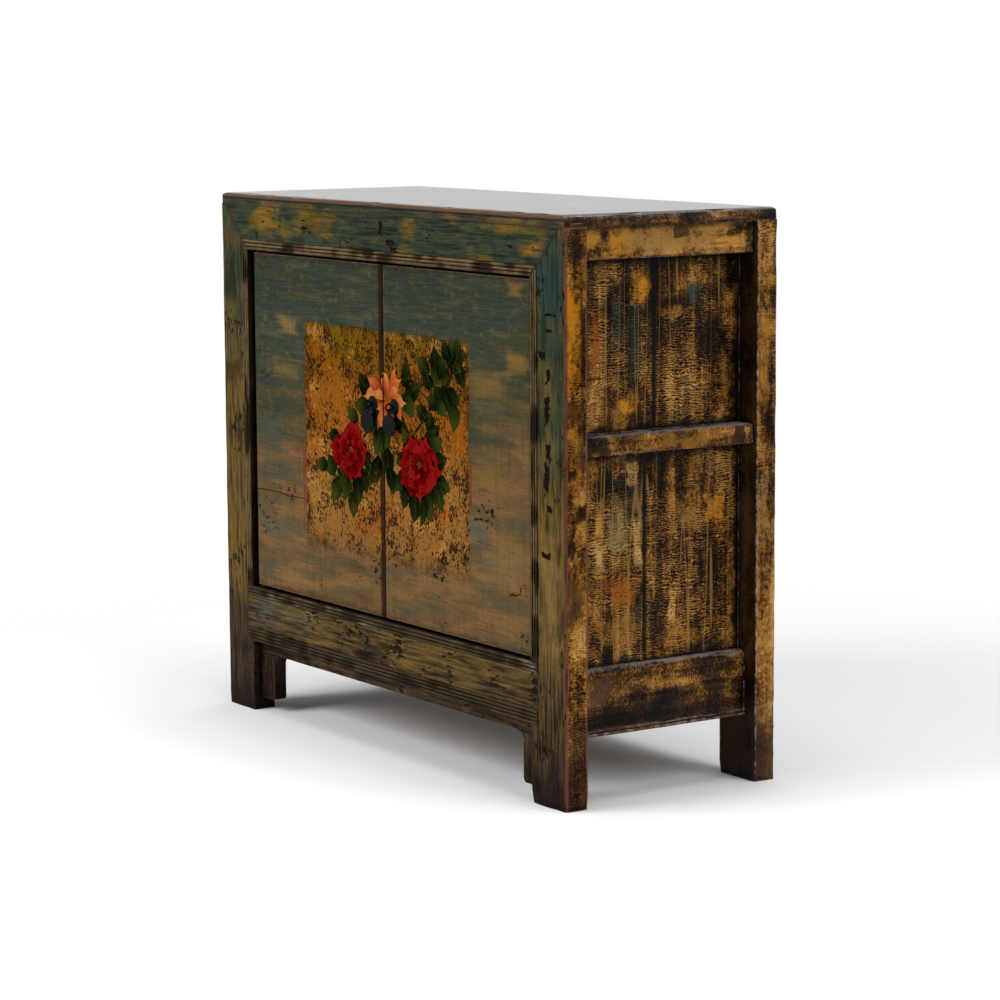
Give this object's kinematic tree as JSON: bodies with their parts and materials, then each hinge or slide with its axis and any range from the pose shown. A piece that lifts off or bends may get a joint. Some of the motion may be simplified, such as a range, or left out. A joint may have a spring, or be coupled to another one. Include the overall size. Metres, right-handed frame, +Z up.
{
  "type": "side cabinet",
  "caption": "Low painted wooden side cabinet on square legs, with doors on wooden pivots, iron drop pulls, a shelf inside and a plank top.",
  "frame": {"origin": "on the floor, under the middle of the part's bounding box, the pulls included", "axes": "+X to the viewer's right along the front, +Y towards the back, +Z up"},
  "size_m": [0.98, 0.3912, 0.85],
  "materials": {
    "front_paint": "worn green and ochre lacquer",
    "door_paint": "worn blue-green lacquer with a painted ochre field",
    "side_lacquer": "dark brown lacquer rubbed through to ochre",
    "top_lacquer": "dark brown lacquer, polished by use",
    "bare_wood": "aged bare softwood",
    "iron": "black forged iron"
  },
  "bodies": {
    "carcass": {"back_lower_left_board": "bare_wood", "back_lower_middle_board": "bare_wood", "back_lower_right_board": "bare_wood", "back_upper_left_board": "bare_wood", "back_upper_middle_board": "bare_wood", "back_upper_right_board": "bare_wood", "floor_bearers": "bare_wood", "floor_front_board": "bare_wood", "floor_rear_board": "bare_wood", "front_apron": "front_paint", "front_bottom_rail": "front_paint", "front_left_post": "front_paint", "front_left_spandrel": "front_paint", "front_right_post": "front_paint", "front_right_spandrel": "front_paint", "front_top_rail": "front_paint", "left_bottom_rail": "side_lacquer", "left_lower_front_board": "side_lacquer", "left_lower_rear_board": "side_lacquer", "left_mid_rail": "side_lacquer", "left_top_rail": "side_lacquer", "left_upper_front_board": "side_lacquer", "left_upper_rear_board": "side_lacquer", "rear_bottom_rail": "side_lacquer", "rear_left_post": "side_lacquer", "rear_mid_rail": "side_lacquer", "rear_right_post": "side_lacquer", "rear_top_rail": "side_lacquer", "right_bottom_rail": "side_lacquer", "right_lower_front_board": "side_lacquer", "right_lower_rear_board": "side_lacquer", "right_mid_rail": "side_lacquer", "right_top_rail": "side_lacquer", "right_upper_front_board": "side_lacquer", "right_upper_rear_board": "side_lacquer", "shelf_front_board": "bare_wood", "shelf_rear_board": "bare_wood", "top_battens": "bare_wood", "top_front_board": "top_lacquer", "top_middle_board": "top_lacquer", "top_rear_board": "top_lacquer"},
    "left_door": {"left_door_battens": "bare_wood", "left_door_bottom_rail": "door_paint", "left_door_meeting_stile": "door_paint", "left_door_panel": "door_paint", "left_door_pivot_stile": "door_paint", "left_door_top_rail": "door_paint", "left_pull_rosette": "iron", "left_pull_staple": "iron"},
    "left_drop": {"left_pull_drop": "iron"},
    "right_door": {"right_door_battens": "bare_wood", "right_door_bottom_rail": "door_paint", "right_door_meeting_stile": "door_paint", "right_door_panel": "door_paint", "right_door_pivot_stile": "door_paint", "right_door_top_rail": "door_paint", "right_pull_rosette": "iron", "right_pull_staple": "iron"},
    "right_drop": {"right_pull_drop": "iron"}
  },
  "joints": [
    {"name": "right_door_hinge", "type": "hinge", "parent": "carcass", "child": "right_door", "pos_m": [0.39, -0.16735, 0.212], "axis": [0, 0, 1], "range_deg": [0, 95]},
    {"name": "right_drop_swing", "type": "hinge", "parent": "right_door", "child": "right_drop", "pos_m": [0.0315, -0.18885, 0.541], "axis": [-1, 0, 0], "range_deg": [-8, 150]},
    {"name": "left_door_hinge", "type": "hinge", "parent": "carcass", "child": "left_door", "pos_m": [-0.39, -0.16735, 0.212], "axis": [0, 0, -1], "range_deg": [0, 95]},
    {"name": "left_drop_swing", "type": "hinge", "parent": "left_door", "child": "left_drop", "pos_m": [-0.0315, -0.18885, 0.541], "axis": [-1, 0, 0], "range_deg": [-8, 150]}
  ]
}
